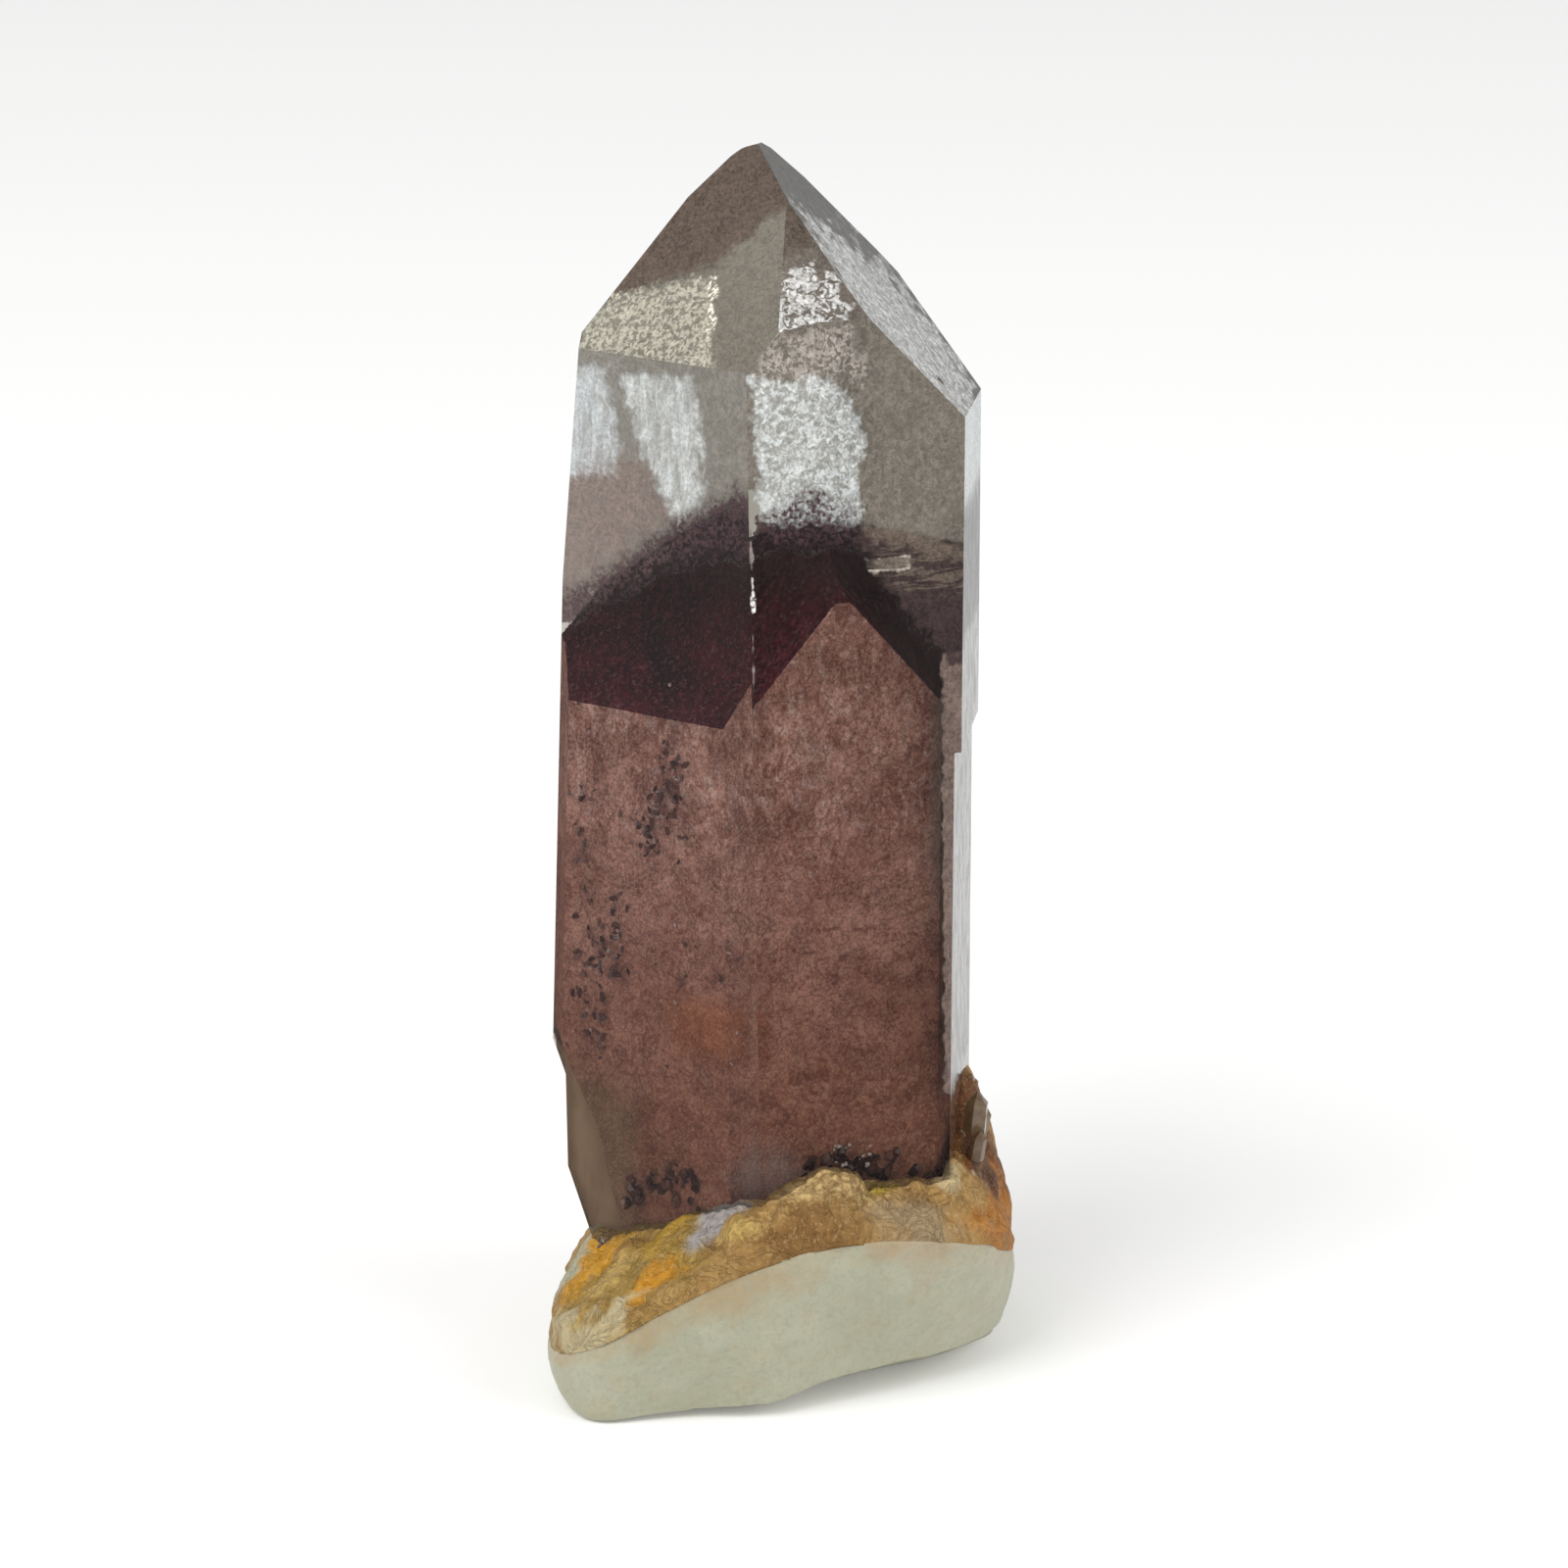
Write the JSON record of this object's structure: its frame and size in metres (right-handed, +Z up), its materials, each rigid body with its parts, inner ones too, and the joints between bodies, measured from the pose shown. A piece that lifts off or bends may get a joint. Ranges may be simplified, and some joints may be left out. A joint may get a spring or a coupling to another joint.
{
  "type": "phantom quartz crystal",
  "caption": "Clear six-sided quartz point with a red inner phantom, standing on an iron-stained crust over a small white rock with a flat cut underside.",
  "frame": {"origin": "on the flat cut underside of the rock, below the point where the crystal's axis stands", "axes": "+Z up along the crystal, +X to the right and +Y to the back as seen from the front"},
  "size_m": [0.0238, 0.0248, 0.0633],
  "materials": {
    "clear_quartz": "clear, faintly smoky natural crystal faces",
    "hematite_phantom": "cloudy quartz dusted red with hematite, seen through the clear outer quartz",
    "iron_crust": "granular ochre limonite crust with small quartz points",
    "white_rock": "smooth greenish white stone"
  },
  "bodies": {
    "root": {"quartz_crystal": "clear_quartz", "red_phantom": "hematite_phantom", "iron_crust": "iron_crust", "matrix_rock": "white_rock"}
  },
  "joints": []
}
